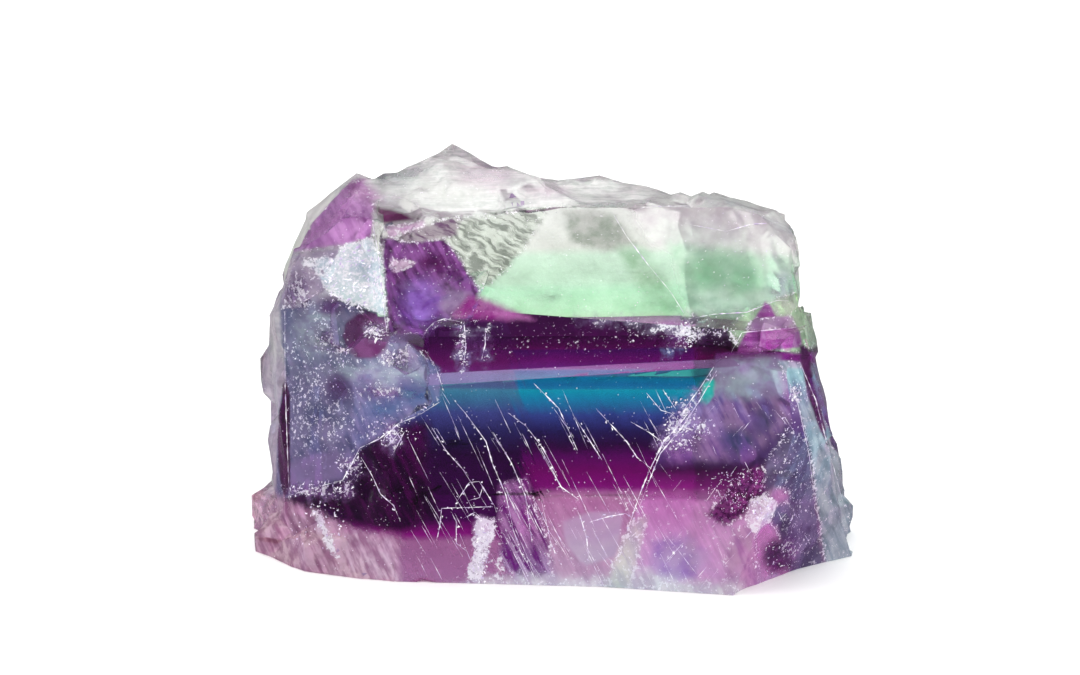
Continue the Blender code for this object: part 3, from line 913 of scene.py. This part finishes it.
# %% Crack material
# One white finish serves the cracks, the chips and the painted edge highlights.
crack_and_highlight_white, tree = new_material("air_filled_crack")
objects = node(tree, "ShaderNodeTexCoord")["Object"]
flecks = node(tree, "ShaderNodeTexNoise", {}, {"Vector": objects, "Scale": 2500.0, "Detail": 2.0})
pale = mixed(flecks.between(0.35, 0.6), opaque(seen(196, 178, 214)), opaque(seen(250, 248, 252)))
shine = node(tree, "ShaderNodeBsdfPrincipled", {}, {"Base Color": pale, "Roughness": 0.55, "IOR": 1.3})
node(tree, "ShaderNodeOutputMaterial", {}, {"Surface": shine})


# %% [markdown]
# A crack is a path through a few places in the picture. It is laid on the stone point by point, and each
# point of the curve gets its own thickness, so the line swells and breaks off as a real one does. The
# curve has a bevel and caps, and becomes a closed mesh.

# %% Draw cracks on the stone
def laid_on_stone(places, step=4.0):
    """Points on the stone along a path through places in the picture, a few pixels apart."""
    points = []
    for start, end in zip(places, places[1:]):
        start, end = Vector(start), Vector(end)
        pieces = max(1, round((end - start).length / step))
        for n in range(pieces + (end == Vector(places[-1]))):
            found = on_stone(*start.lerp(end, n / pieces))
            if found:
                points.append(found[0])
    return points


def crack(name, paths, thickness, shake, seed):
    """One mesh of thin closed threads along these paths, thickest in the middle and shaken a little."""
    chance = random.Random(seed)
    curve = bpy.data.curves.new(name, "CURVE")
    curve.dimensions = "3D"
    curve.bevel_depth = thickness * MM
    curve.bevel_resolution = 0
    curve.use_fill_caps = True
    for path in paths:
        shaken = [(a + chance.uniform(-shake, shake), d + chance.uniform(-shake, shake)) for a, d in path]
        points = laid_on_stone(shaken)
        if len(points) < 3:
            continue
        spline = curve.splines.new("POLY")
        spline.points.add(len(points) - 1)
        for n, (spot, point) in enumerate(zip(spline.points, points)):
            along = n / (len(points) - 1)
            spot.co = (*point, 1)
            spot.radius = (0.3 + 0.7 * math.sin(math.pi * along)) * chance.choice((0.2, 0.45, 0.8, 1.5))
    made = bpy.data.objects.new(name, curve)
    bpy.context.scene.collection.objects.link(made)
    select_only(made)
    bpy.ops.object.convert(target="MESH")
    bpy.ops.object.mode_set(mode="EDIT")
    bpy.ops.mesh.select_all(action="SELECT")
    bpy.ops.mesh.remove_doubles(threshold=0.0001 * MM)
    bpy.ops.mesh.normals_make_consistent(inside=False)
    bpy.ops.object.mode_set(mode="OBJECT")
    made.data.materials.clear()
    made.data.materials.append(crack_and_highlight_white)
    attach(made, "root")
    print(name, "has", len(made.data.polygons), "faces")
    return made


# %% [markdown]
# The main cracks run down the front in one direction. Others follow the fault, and a small net of hexagons
# stands on the foot, where cracks of three directions meet. The white lines along the ledges and the other
# edges are painted highlights, where those edges catch the light, and the line on the fault is a crack with
# a painted highlight along its edge.

# %% The cracks that can be followed in the picture
LONG_CRACKS = [
    [(534, 383), (559, 408), (577, 451)],
    [(574, 416), (588, 437), (602, 459)],
    [(595, 408), (626, 441), (636, 457), (652, 468)],
    [(540, 447), (552, 469), (562, 488), (580, 500)],
    [(630, 422), (650, 433), (662, 441)],
    [(646, 394), (662, 410), (671, 414)],
    [(662, 390), (675, 408)],
    [(452, 398), (467, 414), (485, 441), (493, 463), (505, 496), (513, 531), (524, 563)],
    [(509, 414), (526, 427), (542, 449), (558, 475)],
    [(493, 431), (511, 463), (526, 496), (532, 543)],
    [(432, 427), (446, 451), (469, 476)],
    [(425, 351), (436, 367), (444, 392)],
    [(362, 457), (371, 476), (381, 494), (393, 506), (401, 522)],
    [(624, 490), (632, 506), (638, 514)],
    [(589, 522), (607, 516), (626, 514), (634, 520)],
    [(540, 496), (552, 543), (562, 569)],
    [(579, 514), (587, 539), (589, 563)],
    [(673, 433), (691, 408)],
    [(683, 543), (667, 561)],
]
# The fault line: a crack, whose white line also stands for a painted highlight along that edge.
JUNCTION_CRACK_AND_HIGHLIGHT = [
    [(714, 370), (700, 390), (688, 407), (674, 428), (663, 442), (650, 470), (641, 496), (628, 530)],
    [(716, 372), (700, 400), (680, 430), (660, 452), (648, 486), (640, 510)],
]
# Painted highlights: white lines along the ledges and edges of faces, where those edges catch the light. They
# are not cracks.
EDGE_HIGHLIGHT_LINES = [
    [(285, 499), (300, 494), (320, 487), (345, 480), (354, 464), (362, 450), (380, 437), (400, 425),
     (418, 413), (440, 402)],
    [(371, 222), (378, 250), (384, 290), (386, 330)],
    [(424, 332), (436, 324), (447, 318), (462, 320)],
    [(462, 320), (464, 346), (463, 372)],
    [(485, 328), (483, 344), (484, 360)],
    [(777, 362), (797, 402), (811, 455), (816, 500)],
    [(801, 363), (815, 398), (825, 443), (842, 500)],
    [(286, 300), (287, 380), (289, 470), (289, 498)],
    [(612, 213), (628, 234), (648, 264), (668, 290), (686, 314)],
    [(632, 211), (648, 207), (662, 205), (690, 204)],
    [(695, 224), (724, 229), (752, 226), (776, 222)],
    [(690, 317), (713, 316), (744, 310), (775, 303), (788, 299)],
    [(732, 352), (742, 334), (796, 330)],
]
HEXAGONS = [
    [(456, 502), (469, 482), (479, 481), (495, 506), (496, 512)],
    [(483, 488), (479, 498), (469, 500)],
    [(456, 502), (456, 508), (493, 507)],
    [(442, 508), (440, 527), (436, 541)],
    [(442, 508), (456, 508)],
    [(456, 518), (456, 543), (467, 552)],
    [(464, 518), (475, 512), (481, 518)],
    [(387, 430), (396, 444)], [(392, 426), (402, 440)], [(384, 438), (398, 424)], [(388, 446), (402, 430)],
    [(394, 452), (404, 432)],
]
crack("long_cracks", LONG_CRACKS, 0.042, 1.0, 3)
crack("junction_crack", JUNCTION_CRACK_AND_HIGHLIGHT, 0.06, 2.0, 4)
crack("ledge_edges", EDGE_HIGHLIGHT_LINES, 0.045, 2.5, 7)
crack("hexagon_cracks", HEXAGONS, 0.045, 0.5, 5)

# %% [markdown]
# Between them lie hairlines, too many to follow. They are drawn at random round the main directions, from
# a seed, so that they are the same each time.

# %% Hairlines
chance = random.Random(11)
fine_paths = []
for _ in range(90):
    across, down = chance.uniform(405, 665), chance.uniform(385, 560)
    length, lean = chance.uniform(12, 60), chance.gauss(0.52, 0.08)
    fine_paths.append([(across, down), (across + lean * length, down + length)])
for _ in range(44):
    across, down = chance.uniform(640, 820), chance.uniform(400, 580)
    length, lean = chance.uniform(5, 16), chance.choice((-0.9, 0.5)) + chance.gauss(0, 0.15)
    fine_paths.append([(across, down), (across + lean * length, down + length)])
crack("fine_cracks", fine_paths, 0.02, 0.6, 6)

# %% [markdown]
# ## Chips and frost
# Where the stone was bruised, its surface is a crust of tiny broken crystals that glitter. One chip is
# cut from a ball until it is a splinter with flat faces, and it is then copied in hundreds, each turned
# its own way and sunk halfway into the stone.

# %% Cut one chip
def cut_chip(name, cuts):
    """A splinter with flat faces: a small ball from which planes have taken slices."""
    bpy.ops.object.select_all(action="DESELECT")
    bpy.ops.mesh.primitive_ico_sphere_add(subdivisions=2, radius=1.0, location=(0, 0, 0))
    chip = bpy.context.object
    chip.name = name
    bpy.ops.object.mode_set(mode="EDIT")
    for place, direction in cuts:
        bpy.ops.mesh.select_all(action="SELECT")
        bpy.ops.mesh.bisect(plane_co=place, plane_no=direction, use_fill=True, clear_outer=True)
    bpy.ops.mesh.select_all(action="SELECT")
    bpy.ops.mesh.dissolve_limited(angle_limit=math.radians(18))
    bpy.ops.mesh.quads_convert_to_tris()
    bpy.ops.mesh.normals_make_consistent(inside=False)
    bpy.ops.object.mode_set(mode="OBJECT")
    print(name, "has", len(chip.data.polygons), "faces")
    return chip


splinter = cut_chip(
    "chip_pattern",
    [
        ((0.42, 0, 0), (1, 0.2, 0.1)),
        ((-0.4, 0, 0), (-1, 0.1, 0.3)),
        ((0, 0.35, 0), (0.1, 1, 0.2)),
        ((0, -0.3, 0), (-0.2, -1, 0.3)),
        ((0, 0, 0.6), (0.3, 0.2, 1)),
        ((0, 0, -0.5), (0.2, 0.3, -1)),
    ],
)

# %% [markdown]
# The chips go where the stone was bruised, and singly along the cracks, as where a crack has lost a
# flake.

# %% Where the chips lie
BRUISES = [
    # across, down, half width, half height, how many, size in mm
    (352, 278, 30, 34, 150, 0.5),
    (374, 332, 11, 10, 50, 0.4),
    (398, 358, 12, 8, 30, 0.35),
    (686, 336, 8, 16, 40, 0.3),
    (714, 329, 18, 4, 24, 0.25),
    (463, 346, 4, 26, 36, 0.28),
    (682, 424, 20, 26, 90, 0.36),
    (764, 508, 13, 13, 60, 0.4),
    (481, 552, 9, 36, 80, 0.36),
    (797, 394, 7, 10, 26, 0.4),
    (320, 488, 34, 7, 70, 0.35),
    (350, 464, 16, 12, 40, 0.35),
    (392, 432, 30, 14, 60, 0.28),
    (322, 350, 30, 26, 90, 0.26),
    (320, 420, 34, 50, 150, 0.2),
    (736, 490, 28, 22, 190, 0.2),
    (775, 560, 24, 18, 50, 0.35),
    (320, 525, 30, 24, 60, 0.35),
    (790, 470, 16, 60, 90, 0.28),
    (740, 250, 50, 40, 60, 0.2),
    (600, 335, 120, 14, 90, 0.1),
]
CHIP_SPACING, STRAY, ALONE, CHIP_SIZE = 7, 2.5, 1, 0.3
# Chips also follow the fault line and the first six painted edge highlights, and so add to their painted
# light.
for path in LONG_CRACKS + JUNCTION_CRACK_AND_HIGHLIGHT + EDGE_HIGHLIGHT_LINES[:6] + HEXAGONS:
    for start, end in zip(path, path[1:]):
        how_many = round(math.dist(start, end) / CHIP_SPACING)
        for n in range(how_many):
            share = (n + 0.5) / how_many
            across = start[0] + (end[0] - start[0]) * share
            down = start[1] + (end[1] - start[1]) * share
            BRUISES.append((across, down, STRAY, STRAY, ALONE, CHIP_SIZE))

print("places with chips:", len(BRUISES))

# %% [markdown]
# Each copy has its own size and turn, and lies nearly flat on the stone, so that it catches light as a
# flake does. Joined, they are one piece.

# %% Spread copies of the chip
def spread_chips(name, pattern, bruises, seed):
    """Copies of a chip, sunk into the stone round each bruise, as one mesh."""
    chance = random.Random(seed)
    copies = []
    for across, down, wide, high, how_many, size in bruises:
        for _ in range(how_many):
            turn, out = chance.uniform(0, 2 * math.pi), math.sqrt(chance.random())
            found = on_stone(across + wide * out * math.cos(turn), down + high * out * math.sin(turn))
            if not found:
                continue
            chip = bpy.data.objects.new(name, pattern.data.copy())
            bpy.context.scene.collection.objects.link(chip)
            big = size * chance.uniform(0.35, 1.0) * MM
            chip.location = found[0] - found[1] * big * 0.1
            lean = found[1] + Vector([chance.uniform(-0.4, 0.4) for _ in range(3)])
            chip.rotation_mode = "QUATERNION"
            chip.rotation_quaternion = lean.to_track_quat("Z", "X") @ Quaternion(
                (0, 0, 1), chance.uniform(0, 2 * math.pi)
            )
            chip.scale = (big * chance.uniform(0.5, 1.2), big * chance.uniform(0.25, 0.8), big * 0.3)
            copies.append(chip)
    select_only(*copies)
    bpy.ops.object.join()
    bpy.ops.object.transform_apply(location=True, rotation=True, scale=True)
    made = bpy.context.object
    made.name = name
    return made


chips = spread_chips("frosted_chips", splinter, BRUISES, 21)
bpy.data.objects.remove(splinter)
chips.data.materials.clear()
chips.data.materials.append(crack_and_highlight_white)
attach(chips, "root")
print("chips:", len(chips.data.polygons), "faces")
